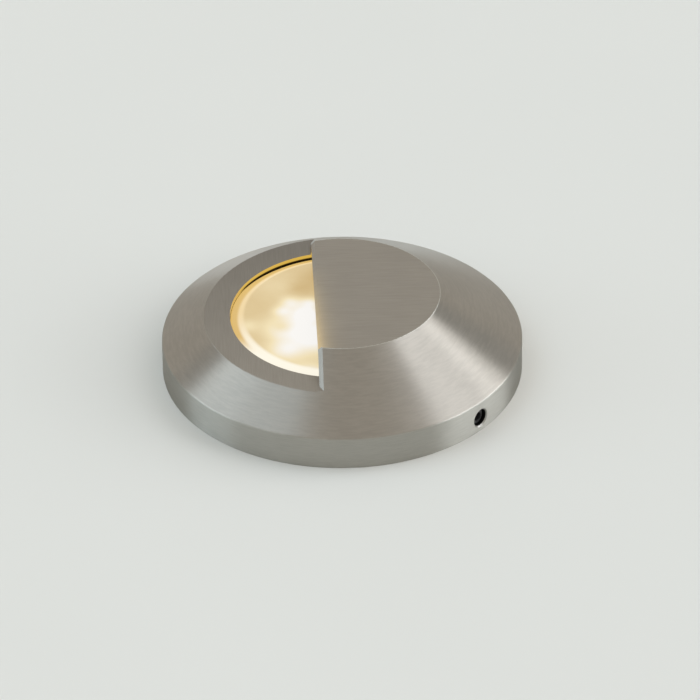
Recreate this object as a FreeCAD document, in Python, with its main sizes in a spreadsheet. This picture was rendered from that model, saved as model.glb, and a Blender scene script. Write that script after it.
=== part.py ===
import FreeCAD, Part
import math
import os

import Sketcher
from FreeCAD import Placement, Rotation, Vector

# Recessed step light with a bevelled one-way cover. Millimetres. The origin is on the light's axis, on the
# surface that it is let into, and +Z points out of that surface. The raised hood covers the +X side of the
# glass, so the light leaves towards -X. Everything below Z = 0 hangs in the hole behind the surface.

doc = FreeCAD.newDocument("StepLight")
sheet = doc.addObject("Spreadsheet::Sheet", "Dimensions")

COVER = (
    ("cover_radius", 40, "outside radius at the rim"),
    ("rim_height", 7.5, "upright part of the rim"),
    ("cover_height", 19, "top disc above the mounting surface"),
    ("top_disc_radius", 21.8, "flat top, where the bevel ends"),
    ("notch_floor_level", 13.4, "low flat beside the hood"),
    ("hood_face_x", -6, "upright open face of the hood"),
    ("aperture_radius", 24.8, "round hole over the glass"),
    ("cover_skin", 1.2, "plate between the notch floor and the hollow"),
    ("roof_thickness", 1.5, "roof of the hood"),
    ("recess_radius", 31, "hollow that turns on the collar"),
    ("recess_bevel", 1.6, "slope at the top of the hollow"),
    ("edge_round", 0.4, "soft outer edges"),
    ("hood_lip", 0.8, "broken edge round the hood's open face"),
    ("hood_edge_root", 0.15, "where that edge stops above the notch floor"),
)
SET_SCREW = (
    ("set_screw_level", 3.25, "height of the set screws' axes"),
    ("set_screw_radius", 1.95, "M4 thread, drawn as a plain shank"),
    ("set_screw_hole_radius", 2, "tapped hole in the rim"),
    ("set_screw_length", 8, "M4 x 8"),
    ("set_screw_tip_radius", 1.3, "flat point"),
    ("set_screw_chamfer", 0.6, "both ends"),
    ("set_screw_socket_depth", 2.6, "hexagon socket"),
    ("set_screw_socket_flats", 2, "across the socket's flats"),
    ("set_screw_countersink", 0.3, "broken edge of the hole's mouth"),
)
LENS = (
    ("lens_bottom", 4.6, "underside of the glass"),
    ("lens_flange_radius", 26, "foot that the gasket holds"),
    ("lens_flange_top", 7, "top of that foot"),
    ("lens_barrel_radius", 24.6, "upright side"),
    ("lens_barrel_top", 11.3, "start of the rounded shoulder"),
    ("lens_bevel_radius", 23.25, "foot of the bevel"),
    ("lens_bevel_level", 12.5, "foot of the bevel"),
    ("lens_crown_radius", 21.8, "flat crown"),
    ("lens_crown_level", 13.25, "flat crown, just under the notch floor"),
    ("gasket_radius", 26.6, "outside of the gasket"),
    ("gasket_foot_radius", 22.9, "inside of the gasket's lower leg"),
    ("gasket_lip_radius", 24.7, "inside of the gasket's upper leg"),
    ("diffuser_radius", 22, "opal film under the glass"),
    ("diffuser_thickness", 0.5, "opal film under the glass"),
)
CLAMP = (
    ("clamp_ring_radius", 30.2, "outside"),
    ("clamp_ring_bore", 24.7, "inside radius"),
    ("clamp_ring_thickness", 1.2, "flat ring"),
    ("clamp_circle_radius", 28.7, "circle of the M2 screws"),
    ("clamp_screw_radius", 1, "M2 shank"),
    ("clamp_head_radius", 1.9, "M2 pan head"),
    ("clamp_head_height", 1.2, "M2 pan head"),
    ("clamp_screw_depth", 4, "shank in the collar"),
)
HOUSING = (
    ("collar_radius", 30.9, "head under the cover"),
    ("collar_top", 7.6, "head under the cover"),
    ("pocket_radius", 26.7, "seat of the glass and its gasket"),
    ("pocket_floor", 3.6, "seat of the glass and its gasket"),
    ("body_radius", 25, "barrel in the hole"),
    ("body_bottom", -60, "end of the barrel"),
    ("lamp_bore_radius", 22.3, "chamber of the lamp board"),
    ("driver_bore_radius", 20.2, "chamber of the driver"),
    ("heat_sink_top", -12.9, "disc between the chambers"),
    ("heat_sink_bottom", -18, "the ledge that it sits on"),
    ("grip_groove_radius", 23, "bottom of the grip rings' grooves"),
    ("grip_groove_height", 3.4, "width of the grooves"),
    ("upper_grip_level", -22, "middle of the upper groove"),
    ("lower_grip_level", -48, "middle of the lower groove"),
    ("grip_lip_radius", 25.25, "lip of a grip ring, as squeezed in the hole"),
    ("grip_lip_rise", 0.6, "lip above the middle of its groove"),
    ("grip_heel_radius", 24.6, "edges of a grip ring"),
    ("screw_clearance", 0.05, "gap round a shank in its hole"),
)
LAMP = (
    ("pad_radius", 18, "thermal pad"),
    ("pad_thickness", 0.5, "thermal pad"),
    ("lamp_board_radius", 18.5, "metal-core board"),
    ("board_thickness", 1.6, "both boards"),
    ("emitter_side", 3, "square emitter"),
    ("emitter_height", 1, "square emitter"),
    ("emitter_circle_radius", 4.6, "ring of six round the middle one"),
    ("lamp_screw_circle", 15.2, "screws of the lamp board"),
    ("small_screw_radius", 1.2, "M2.5 shank"),
    ("small_head_radius", 2.25, "M2.5 pan head"),
    ("small_head_height", 1.5, "M2.5 pan head"),
    ("lamp_screw_reach", 5.1, "shank below the board's top"),
    ("reflector_throat", 7.4, "inside, round the emitters"),
    ("reflector_foot_radius", 9, "outside of its foot"),
    ("reflector_foot_height", 0.8, "thickness of its foot"),
    ("reflector_mouth", 21, "inside, under the film"),
    ("reflector_rim_radius", 22.1, "outside of its rim"),
    ("reflector_rim_height", 1, "thickness of its rim"),
    ("reflector_top", 3.2, "top of its rim"),
    ("lead_x", 15.6, "where the two leads come up"),
    ("lead_pad_x", 12.4, "where they are soldered"),
    ("lead_y", 1.1, "half the distance between them"),
    ("lead_radius", 0.6, "insulated wire"),
    ("lead_bend_level", -10.2, "where the hairpin bend starts"),
    ("lead_hole_radius", 2, "hole through the heat sink and the lamp board"),
)
DRIVER = (
    ("standoff_length", 8, "between the heat sink and the driver board"),
    ("standoff_radius", 2.5, "outside"),
    ("standoff_circle", 16, "circle of the three standoffs"),
    ("stud_length", 3.4, "stud in the heat sink"),
    ("driver_board_radius", 19.4, "driver board"),
    ("driver_screw_reach", 5, "shank above the board's top"),
    ("capacitor_x", -6.5, "middle of the capacitor"),
    ("capacitor_y", 8.5, "middle of the capacitor"),
    ("capacitor_radius", 5, "can"),
    ("capacitor_length", 12, "can"),
    ("inductor_x", 6, "middle of the inductor"),
    ("inductor_y", 4, "middle of the inductor"),
    ("inductor_flange_radius", 5, "drum core"),
    ("inductor_core_radius", 2.4, "drum core"),
    ("inductor_flange_height", 1.4, "drum core"),
    ("inductor_length", 8, "drum core"),
    ("winding_radius", 4.4, "copper on the drum"),
    ("rectifier_x", -7, "middle of the rectifier"),
    ("rectifier_y", -6, "middle of the rectifier"),
    ("rectifier_length", 8, "along X"),
    ("rectifier_width", 6, "along Y"),
    ("rectifier_height", 2.6, "block"),
    ("chip_x", -10, "middle of the driver chip"),
    ("chip_y", 0.3, "middle of the driver chip"),
    ("chip_length", 5, "along X"),
    ("chip_width", 4, "along Y"),
    ("chip_height", 1.6, "block"),
    ("terminal_x", 6, "middle of the terminal block"),
    ("terminal_y", -7.4, "middle of the terminal block"),
    ("terminal_length", 10, "along X"),
    ("terminal_width", 7, "along Y"),
    ("terminal_height", 9, "block"),
    ("terminal_pitch", 5, "between its two ways"),
    ("terminal_wire_radius", 1.4, "wire entry"),
    ("terminal_wire_depth", 6, "wire entry"),
    ("terminal_screw_radius", 1.3, "its clamping screws"),
    ("terminal_screw_length", 2.5, "its clamping screws"),
    ("terminal_screw_drop", 5.5, "below the board"),
)
BASE = (
    ("cap_bottom", -74, "end of the light"),
    ("cap_chamfer", 1, "round its foot"),
    ("plug_radius", 20.15, "screws into the barrel"),
    ("plug_top", -54, "top of the plug"),
    ("plug_hollow_radius", 14, "room for the supply wires"),
    ("plug_hollow_floor", -62, "room for the supply wires"),
    ("cap_ring_level", -57, "middle of the sealing ring"),
    ("cap_ring_section", 2, "sealing ring, as squeezed square in the barrel"),
    ("cap_groove_radius", 18.2, "bottom of its groove"),
    ("cap_groove_height", 2.6, "its groove"),
    ("gland_radius", 8, "compression gland in the cap"),
    ("gland_seat", -65, "top of the gland's bore"),
    ("gland_seal_length", 5, "rubber bush"),
    ("gland_seal_bore", 3.25, "grips the cable"),
    ("gland_bore", 3.7, "passes the cable"),
    ("gland_washer_thickness", 0.8, "slides between the nut and the bush"),
    ("gland_nut_length", 3.2, "screwed flush into the cap"),
    ("gland_nut_flats", 10, "across its hexagon socket"),
    ("gland_nut_socket", 2, "depth of that socket"),
    ("gland_gap", 0.1, "round the bush, the washer and the nut"),
    ("spanner_hole_radius", 2, "pair of holes that turn the cap"),
    ("spanner_hole_depth", 4, "their depth"),
    ("spanner_hole_offset", 17, "from the axis"),
)
FORMULAS = (
    ("bevel_run", "=(cover_radius - top_disc_radius) / (cover_height - rim_height)"),
    ("floor_edge_radius", "=cover_radius - (notch_floor_level - rim_height) * bevel_run"),
    ("skin_underside", "=notch_floor_level - cover_skin"),
    ("skin_corner_radius", "=recess_radius - recess_bevel"),
    ("recess_corner_level", "=skin_underside - recess_bevel"),
    ("ceiling_level", "=cover_height - roof_thickness"),
    ("ceiling_edge_radius", "=aperture_radius - ceiling_level + notch_floor_level"),
    ("notch_clear_level", "=cover_height + 1"),
    ("hood_lip_level", "=cover_height - hood_lip"),
    ("hood_lip_clear_x", "=hood_face_x + notch_clear_level - hood_lip_level"),
    ("notch_clear_x", "=0 - cover_radius - 1"),
    ("hood_top_y", "=sqrt(top_disc_radius ^ 2 - hood_face_x ^ 2)"),
    ("hood_foot_y", "=sqrt(floor_edge_radius ^ 2 - hood_face_x ^ 2)"),
    ("set_screw_head", "=recess_radius + set_screw_length"),
    ("gasket_floor_top", "=lens_bottom"),
    ("clamp_ring_top", "=collar_top + clamp_ring_thickness"),
    ("upper_groove_top", "=upper_grip_level + grip_groove_height / 2"),
    ("upper_groove_bottom", "=upper_grip_level - grip_groove_height / 2"),
    ("lower_groove_top", "=lower_grip_level + grip_groove_height / 2"),
    ("lower_groove_bottom", "=lower_grip_level - grip_groove_height / 2"),
    ("upper_lip_level", "=upper_grip_level + grip_lip_rise"),
    ("lower_lip_level", "=lower_grip_level + grip_lip_rise"),
    ("lamp_board_bottom", "=heat_sink_top + pad_thickness"),
    ("lamp_board_top", "=lamp_board_bottom + board_thickness"),
    ("reflector_foot_top", "=lamp_board_top + reflector_foot_height"),
    ("reflector_rim_bottom", "=reflector_top - reflector_rim_height"),
    ("driver_board_top", "=heat_sink_bottom - standoff_length"),
    ("driver_board_bottom", "=driver_board_top - board_thickness"),
    ("inductor_bottom", "=driver_board_bottom - inductor_length"),
    ("cap_groove_top", "=cap_ring_level + cap_groove_height / 2"),
    ("cap_groove_bottom", "=cap_ring_level - cap_groove_height / 2"),
    ("cap_edge_level", "=cap_bottom + cap_chamfer"),
    ("cap_foot_radius", "=body_radius - cap_chamfer"),
    ("gland_seal_bottom", "=gland_seat - gland_seal_length"),
    ("gland_washer_bottom", "=gland_seal_bottom - gland_washer_thickness"),
)

SET_SCREW_AZIMUTHS = {"cover_set_screw_front": -43, "cover_set_screw_rear": 137}
CLAMP_SCREWS = 6
LAMP_SCREWS = 3
STANDOFFS = 3
STANDOFF_START = 60
LAMP_SCREW_START = 90
OUTER_EMITTERS = 6
HEXAGON = 6
SQUARE_ROOT_OF_THREE = math.sqrt(3)
OVERRUN = 1         # how far a cutting tool stands out of what it cuts
BLIND_SPARE = 0.5   # how much deeper a blind hole is than what goes in it
TOLERANCE = 0.01    # for telling edges apart
SLOT_DEPTH = 0.4    # of the height of a screw's head
SLOT_WIDTH = 0.3    # of the radius of a screw's head
SLOT_LENGTH = 2.4   # of the same radius, so that the slot runs right across


def fill_sheet():
    """One row a dimension: what it is, its value, and the alias that the model uses."""
    row = 1
    for group in (COVER, SET_SCREW, LENS, CLAMP, HOUSING, LAMP, DRIVER, BASE):
        for alias, value, meaning in group:
            sheet.set(f"A{row}", meaning)
            sheet.set(f"B{row}", str(value))
            sheet.setAlias(f"B{row}", alias)
            row += 1
    for alias, formula in FORMULAS:
        sheet.set(f"B{row}", formula)
        sheet.setAlias(f"B{row}", alias)
        row += 1
    doc.recompute()


def size(alias):
    """Value of a cell. None stands for the axis or the mounting surface."""
    return 0.0 if alias is None else float(sheet.get(alias))


def cell(alias):
    return "0" if alias is None else f"Dimensions.{alias}"


sub_parts = {}


def keep(label, feature):
    """Names a finished sub-part, which is written to a file of that name."""
    feature.Label = label
    sub_parts[label] = feature
    return feature


# ---- outlines and turned bodies ----------------------------------------------------------------------------

def arc_centre(start, end, fixed):
    """Centre of an arc from start to end, of which one coordinate is known: fixed is ("x" or "z", alias)."""
    middle = (start + end) * 0.5
    chord = end - start
    if fixed[0] == "x":
        x = size(fixed[1])
        return Vector(x, middle.y - chord.x * (x - middle.x) / chord.y, 0)
    z = size(fixed[1])
    return Vector(middle.x - chord.y * (z - middle.y) / chord.x, z, 0)


def add_arc(sketch, start, end, fixed):
    """Adds the short arc, and returns which of its ends is the start and which the end."""
    centre = arc_centre(start, end, fixed)
    first, second = start - centre, end - centre
    anticlockwise = first.cross(second).z > 0
    if not anticlockwise:
        first, second = second, first
    circle = Part.Circle(centre, Vector(0, 0, 1), first.Length)
    angles = (math.atan2(first.y, first.x), math.atan2(second.y, second.x))
    edge = sketch.addGeometry(Part.ArcOfCircle(circle, *angles))
    along = 0 if fixed[0] == "x" else 1
    pin_down(sketch, edge, 3, along, fixed[1])
    return (1, 2) if anticlockwise else (2, 1)


def pin_down(sketch, edge, point, along, alias):
    """Ties one coordinate of a point to a cell, or puts the point on the axis or the mounting surface."""
    if alias is None:
        axis = -2 if along == 0 else -1
        sketch.addConstraint(Sketcher.Constraint("PointOnObject", edge, point, axis))
        return
    kind = "DistanceX" if along == 0 else "DistanceY"
    number = sketch.addConstraint(Sketcher.Constraint(kind, -1, 1, edge, point, size(alias)))
    sketch.setExpression(f"Constraints[{number}]", cell(alias))


def outline(body, name, corners):
    """Closed outline on the XZ plane, through corners of (x, z) aliases. A corner with a third item is left
    on an arc, and the item says which coordinate of the arc's centre is known."""
    sketch = body.newObject("Sketcher::SketchObject", name)
    plane = [feature for feature in body.Origin.OriginFeatures if feature.Role == "XZ_Plane"][0]
    sketch.AttachmentSupport = [(plane, "")]
    sketch.MapMode = "FlatFace"
    points = [Vector(size(corner[0]), size(corner[1]), 0) for corner in corners]
    ends = []
    for number, corner in enumerate(corners):
        start, end = points[number], points[(number + 1) % len(points)]
        if len(corner) == 3:
            ends.append(add_arc(sketch, start, end, corner[2]))
        else:
            sketch.addGeometry(Part.LineSegment(start, end))
            ends.append((1, 2))
    for number in range(len(corners)):
        following = (number + 1) % len(corners)
        joint = Sketcher.Constraint("Coincident", number, ends[number][1], following, ends[following][0])
        sketch.addConstraint(joint)
    for number, corner in enumerate(corners):
        pin_down(sketch, number, ends[number][0], 0, corner[0])
        pin_down(sketch, number, ends[number][0], 1, corner[1])
    return sketch


def turned(name, corners):
    """Body made by turning an outline round the light's axis."""
    body = doc.addObject("PartDesign::Body", name)
    profile = outline(body, name + "_outline", corners)
    turn = body.newObject("PartDesign::Revolution", name + "_turned")
    turn.Profile = profile
    turn.ReferenceAxis = (profile, ["V_Axis"])
    turn.Angle = 360
    doc.recompute()
    return body


# ---- primitives bound to the sheet ---------------------------------------------------------------------------

def place(feature, x="0", y="0", z="0", rotation=None):
    """Puts a primitive at a position given by three expressions."""
    feature.Placement = Placement(Vector(0, 0, 0), rotation or Rotation())
    for axis, expression in (("x", x), ("y", y), ("z", z)):
        feature.setExpression(f"Placement.Base.{axis}", expression)
    return feature


def cylinder(name, radius, height, **where):
    rod = doc.addObject("Part::Cylinder", name)
    rod.setExpression("Radius", radius)
    rod.setExpression("Height", height)
    return place(rod, **where)


def cone(name, near_radius, far_radius, height, **where):
    taper = doc.addObject("Part::Cone", name)
    taper.setExpression("Radius1", near_radius)
    taper.setExpression("Radius2", far_radius)
    taper.setExpression("Height", height)
    return place(taper, **where)


def hexagon(name, flats, height, **where):
    prism = doc.addObject("Part::Prism", name)
    prism.Polygon = HEXAGON
    prism.setExpression("Circumradius", f"{flats} / {SQUARE_ROOT_OF_THREE:.6f}")
    prism.setExpression("Height", height)
    return place(prism, **where)


def block(name, length, width, height, **where):
    box = doc.addObject("Part::Box", name)
    box.setExpression("Length", length)
    box.setExpression("Width", width)
    box.setExpression("Height", height)
    return place(box, **where)


def torus(name, circle, section, **where):
    tyre = doc.addObject("Part::Torus", name)
    tyre.setExpression("Radius1", circle)
    tyre.setExpression("Radius2", section)
    return place(tyre, **where)


def fused(name, pieces):
    joined = doc.addObject("Part::MultiFuse", name)
    joined.Shapes = pieces
    joined.Refine = True
    return joined


def group(name, pieces):
    """Separate solids that share one node."""
    together = doc.addObject("Part::Compound", name)
    together.Links = pieces
    return together


def cut(name, base, tools):
    tool = tools[0] if len(tools) == 1 else group(name + "_tools", tools)
    left = doc.addObject("Part::Cut", name)
    left.Base = base
    left.Tool = tool
    return left


def through_hole(name, radius, bottom, height, **where):
    """Tool that stands out of both ends of what it drills."""
    return cylinder(name, radius, f"{height} + {2 * OVERRUN}", z=f"{bottom} - {OVERRUN}", **where)


def hole_from_above(name, radius, top, depth, **where):
    return cylinder(name, radius, f"{depth} + {OVERRUN}", z=f"{top} - {depth}", **where)


def hole_from_below(name, radius, bottom, depth, **where):
    return cylinder(name, radius, f"{depth} + {OVERRUN}", z=f"{bottom} - {OVERRUN}", **where)


def ring(name, outside, inside, bottom, height):
    disc = cylinder(name + "_disc", outside, height, z=bottom)
    return cut(name, disc, [through_hole(name + "_hole", inside, bottom, height)])


def round_the_axis(count, start=0):
    """Azimuths of a circle of like pieces."""
    return [start + 360 * number / count for number in range(count)]


def polar(radius, azimuth):
    """X and Y expressions of a point on a circle."""
    return {"x": f"{radius} * cos({azimuth}deg)", "y": f"{radius} * sin({azimuth}deg)"}


def pan_screw(name, azimuth, circle, seat, upwards, shank, head, head_height, reach):
    """Slotted pan-head screw, whose head sits on the level called seat."""
    spot = polar(circle, azimuth)
    over, under = (head_height, reach) if upwards else (reach, head_height)
    top, bottom = (head, shank) if upwards else (shank, head)
    above = cylinder(name + "_above", top, over, z=seat, **spot)
    below = cylinder(name + "_below", bottom, under, z=f"{seat} - {under}", **spot)
    blank = fused(name + "_blank", [above, below])
    rise = f"+ {head_height} * {1 - SLOT_DEPTH}" if upwards else f"- {head_height} * {2 - SLOT_DEPTH}"
    slot = block(name + "_slot", f"{head} * {SLOT_LENGTH}", f"{head} * {SLOT_WIDTH}", head_height,
                 x=f"{spot['x']} - {head} * {SLOT_LENGTH / 2}",
                 y=f"{spot['y']} - {head} * {SLOT_WIDTH / 2}", z=f"{seat} {rise}")
    return cut(name, blank, [slot])


# ---- the cover and its set screws ----------------------------------------------------------------------------

def edges_where(shape, test):
    """Names of the edges whose sampled points all pass a test."""
    return [f"Edge{number}" for number, edge in enumerate(shape.Edges, 1)
            if all(test(point) for point in edge.discretize(7))]


def near(value, target):
    return abs(value - target) < TOLERANCE


def soften(body, name, radius, test):
    """Rounds the edges that a test picks out of a body's last feature."""
    before = body.Tip
    names = edges_where(before.Shape, test)
    if not names:
        raise RuntimeError(f"no edge for {name}")
    fillet = body.newObject("PartDesign::Fillet", name)
    fillet.Base = (before, names)
    fillet.setExpression("Radius", radius)
    doc.recompute()


def on_cover_edge(point):
    """Rim, top disc and notch floor, where they meet the upright rim or the bevel."""
    across = math.hypot(point.x, point.y)
    rings = (("cover_radius", "rim_height"), ("top_disc_radius", "cover_height"),
             ("floor_edge_radius", "notch_floor_level"))
    return any(near(across, size(radius)) and near(point.z, size(level)) for radius, level in rings)


def make_cover_body():
    """Turned bevel with a hollow hood, then the notch that opens the hood on one side."""
    body = turned("cover_body", [
        (None, "cover_height"),
        ("top_disc_radius", "cover_height"),
        ("cover_radius", "rim_height"),
        ("cover_radius", None),
        ("recess_radius", None),
        ("recess_radius", "recess_corner_level"),
        ("skin_corner_radius", "skin_underside"),
        ("aperture_radius", "skin_underside"),
        ("aperture_radius", "notch_floor_level", ("z", "notch_floor_level")),
        ("ceiling_edge_radius", "ceiling_level"),
        (None, "ceiling_level"),
    ])
    whole = body.Shape.Volume
    notch = outline(body, "notch_outline", [
        ("hood_face_x", "notch_floor_level"),
        ("hood_face_x", "hood_lip_level"),
        ("hood_lip_clear_x", "notch_clear_level"),
        ("notch_clear_x", "notch_clear_level"),
        ("notch_clear_x", "notch_floor_level"),
    ])
    pocket = body.newObject("PartDesign::Pocket", "notch")
    pocket.Profile = notch
    pocket.SideType = "Symmetric"
    pocket.setExpression("Length", f"2 * {cell('cover_radius')} + {2 * OVERRUN}")
    doc.recompute()
    if not body.Shape.Volume < whole - 1:
        raise RuntimeError("the notch cuts nothing")
    soften(body, "soft_edges", cell("edge_round"), on_cover_edge)
    return body


def radially(azimuth, level, radius):
    """Placement of a piece whose own Z runs out from the light's axis."""
    angle = math.radians(azimuth)
    outwards = Rotation(Vector(0, 0, 1), Vector(math.cos(angle), math.sin(angle), 0))
    return {"z": level, "rotation": outwards, **polar(f"({radius})", azimuth)}


def hood_edge_tool(name, side):
    """Tool that breaks the edge of the hood's open face down the bevel, as far as the notch floor."""
    rise = size("cover_height") - size("notch_floor_level")
    spread = size("hood_foot_y") - size("hood_top_y")
    along = Vector(0, -side * spread, rise)
    off_bevel = Vector(0, side * rise, spread).normalize()
    across = (off_bevel - Vector(1, 0, 0)).cross(along)
    turn = Rotation(along, across, off_bevel - Vector(1, 0, 0))
    start = turn.multVec(Vector(-OVERRUN, -2 * OVERRUN, 0))
    slab = block(name + "_slab", f"{cell('cover_height')}", f"{4 * OVERRUN}", f"{2 * OVERRUN}",
                 x=f"{cell('hood_face_x')} + {cell('hood_lip')} + ({start.x})",
                 y=f"{side} * {cell('hood_foot_y')} + ({start.y})",
                 z=f"{cell('notch_floor_level')} + ({start.z})", rotation=turn)
    reach = cell("cover_radius")
    above = block(name + "_above", f"2 * {reach}", f"2 * {reach}", reach, x=f"0 - {reach}", y=f"0 - {reach}",
                  z=f"{cell('notch_floor_level')} + {cell('hood_edge_root')}")
    tool = doc.addObject("Part::Common", name)
    tool.Base = slab
    tool.Tool = above
    return tool


def make_cover():
    """Breaks the hood's edges and drills the tapped holes of the set screws through the rim."""
    body = make_cover_body()
    tools = [hood_edge_tool("hood_edge_front", -1), hood_edge_tool("hood_edge_rear", 1)]
    for name, azimuth in SET_SCREW_AZIMUTHS.items():
        level, sink = cell("set_screw_level"), cell("set_screw_countersink")
        start = f"{cell('recess_radius')} - {OVERRUN}"
        reach = f"{cell('cover_radius')} - {cell('recess_radius')} + {2 * OVERRUN}"
        tools.append(cylinder(name + "_hole", cell("set_screw_hole_radius"), reach,
                              **radially(azimuth, level, start)))
        mouth = f"{cell('cover_radius')} - {sink}"
        tools.append(cone(name + "_mouth", cell("set_screw_hole_radius"),
                          f"{cell('set_screw_hole_radius')} + 2 * {sink}", f"2 * {sink}",
                          **radially(azimuth, level, mouth)))
    keep("cover", cut("cover_drilled", body, tools))


def make_set_screws():
    """Hexagon-socket set screws, with their tips just clear of the collar."""
    level, chamfer = cell("set_screw_level"), cell("set_screw_chamfer")
    shank, tip, head = cell("set_screw_radius"), cell("set_screw_tip_radius"), cell("set_screw_head")
    for name, azimuth in SET_SCREW_AZIMUTHS.items():
        start = cell("recess_radius")
        length = f"{cell('set_screw_length')} - 2 * {chamfer}"
        point = cone(name + "_point", tip, shank, chamfer, **radially(azimuth, level, start))
        rod = cylinder(name + "_rod", shank, length, **radially(azimuth, level, f"{start} + {chamfer}"))
        end = cone(name + "_end", shank, f"{shank} - {chamfer} / 2", chamfer,
                   **radially(azimuth, level, f"{head} - {chamfer}"))
        blank = fused(name + "_blank", [point, rod, end])
        depth = cell("set_screw_socket_depth")
        socket = hexagon(name + "_socket", cell("set_screw_socket_flats"), f"{depth} + {OVERRUN}",
                         **radially(azimuth, level, f"{head} - {depth}"))
        keep(name, cut(name + "_cut", blank, [socket]))


# ---- the glass and what holds it -----------------------------------------------------------------------------

def make_lens():
    """Stepped glass: a flange below, an upright barrel, a rounded shoulder, a bevel and a flat crown."""
    keep("lens", turned("lens_body", [
        (None, "lens_bottom"),
        ("lens_flange_radius", "lens_bottom"),
        ("lens_flange_radius", "lens_flange_top"),
        ("lens_barrel_radius", "lens_flange_top"),
        ("lens_barrel_radius", "lens_barrel_top", ("z", "lens_barrel_top")),
        ("lens_bevel_radius", "lens_bevel_level"),
        ("lens_crown_radius", "lens_crown_level"),
        (None, "lens_crown_level"),
    ]))


def make_lens_gasket():
    """U-section that wraps the flange of the glass."""
    keep("lens_gasket", turned("lens_gasket_body", [
        ("gasket_foot_radius", "pocket_floor"),
        ("gasket_radius", "pocket_floor"),
        ("gasket_radius", "collar_top"),
        ("gasket_lip_radius", "collar_top"),
        ("gasket_lip_radius", "lens_flange_top"),
        ("lens_flange_radius", "lens_flange_top"),
        ("lens_flange_radius", "gasket_floor_top"),
        ("gasket_foot_radius", "gasket_floor_top"),
    ]))


def make_clamp_ring():
    """Flat ring that presses the gasket down, and the screws that hold it."""
    blank = ring("clamp_ring_blank", cell("clamp_ring_radius"), cell("clamp_ring_bore"), cell("collar_top"),
                 cell("clamp_ring_thickness"))
    holes, screws = [], []
    circle, shank = cell("clamp_circle_radius"), cell("clamp_screw_radius")
    for number, azimuth in enumerate(round_the_axis(CLAMP_SCREWS), 1):
        holes.append(through_hole(f"clamp_hole_{number}", f"{shank} + {cell('screw_clearance')}",
                                  cell("collar_top"), cell("clamp_ring_thickness"), **polar(circle, azimuth)))
        reach = f"({cell('clamp_ring_thickness')} + {cell('clamp_screw_depth')})"
        screws.append(pan_screw(f"clamp_screw_{number}", azimuth, circle, cell("clamp_ring_top"), True, shank,
                                cell("clamp_head_radius"), cell("clamp_head_height"), reach))
    keep("clamp_ring", cut("clamp_ring_drilled", blank, holes))
    keep("clamp_ring_screws", group("clamp_screw_group", screws))


def make_diffuser():
    film = cylinder("diffuser_film", cell("diffuser_radius"), cell("diffuser_thickness"),
                    z=cell("reflector_top"))
    keep("diffuser", film)


# ---- the housing ---------------------------------------------------------------------------------------------

def grip_groove(which):
    """Corners of one grip ring's groove, from its top down."""
    return [
        ("body_radius", f"{which}_groove_top"),
        ("grip_groove_radius", f"{which}_groove_top"),
        ("grip_groove_radius", f"{which}_groove_bottom"),
        ("body_radius", f"{which}_groove_bottom"),
    ]


def make_housing():
    """Turned barrel with a collar round its mouth, and a ledge inside for the heat sink."""
    body = turned("housing_body", [
        ("pocket_radius", "collar_top"),
        ("collar_radius", "collar_top"),
        ("collar_radius", None),
        ("body_radius", None),
        *grip_groove("upper"),
        *grip_groove("lower"),
        ("body_radius", "body_bottom"),
        ("driver_bore_radius", "body_bottom"),
        ("driver_bore_radius", "heat_sink_bottom"),
        ("lamp_bore_radius", "heat_sink_bottom"),
        ("lamp_bore_radius", "pocket_floor"),
        ("pocket_radius", "pocket_floor"),
    ])
    depth = f"({cell('clamp_screw_depth')} + {BLIND_SPARE})"
    radius = f"{cell('clamp_screw_radius')} + {cell('screw_clearance')}"
    holes = [hole_from_above(f"collar_hole_{number}", radius, cell("collar_top"), depth,
                             **polar(cell("clamp_circle_radius"), azimuth))
             for number, azimuth in enumerate(round_the_axis(CLAMP_SCREWS), 1)]
    keep("housing", cut("housing_drilled", body, holes))


def make_heat_sink():
    """Thick disc pressed in above the ledge, drilled for what is screwed to it and for the leads."""
    top, bottom, gap = cell("heat_sink_top"), cell("heat_sink_bottom"), cell("screw_clearance")
    disc = cylinder("heat_sink_disc", cell("lamp_bore_radius"), f"{top} - {bottom}", z=bottom)
    hole_radius = f"{cell('small_screw_radius')} + {gap}"
    lamp_screw_depth = (f"({cell('lamp_screw_reach')} - {cell('board_thickness')} - {cell('pad_thickness')} "
                        f"+ {BLIND_SPARE})")
    stud_depth = f"({cell('stud_length')} + {BLIND_SPARE})"
    holes = [hole_from_above(f"lamp_screw_hole_{number}", hole_radius, top, lamp_screw_depth,
                             **polar(cell("lamp_screw_circle"), azimuth))
             for number, azimuth in enumerate(round_the_axis(LAMP_SCREWS, LAMP_SCREW_START), 1)]
    holes += [hole_from_below(f"stud_hole_{number}", hole_radius, bottom, stud_depth,
                              **polar(cell("standoff_circle"), azimuth))
              for number, azimuth in enumerate(round_the_axis(STANDOFFS, STANDOFF_START), 1)]
    holes.append(through_hole("heat_sink_lead_hole", cell("lead_hole_radius"), bottom, f"{top} - {bottom}",
                              x=cell("lead_x")))
    keep("heat_sink", cut("heat_sink_drilled", disc, holes))


def make_grip_rings():
    """Two rubber rings, each with a lip that is steep above and slopes below, so that it goes in easily."""
    rings = [turned(f"{which}_grip_ring", [
        ("grip_groove_radius", f"{which}_groove_bottom"),
        ("grip_groove_radius", f"{which}_groove_top"),
        ("grip_heel_radius", f"{which}_groove_top"),
        ("grip_lip_radius", f"{which}_lip_level"),
        ("grip_heel_radius", f"{which}_groove_bottom"),
    ]) for which in ("upper", "lower")]
    keep("grip_rings", group("grip_ring_pair", rings))


# ---- the lamp chamber ----------------------------------------------------------------------------------------

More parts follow.
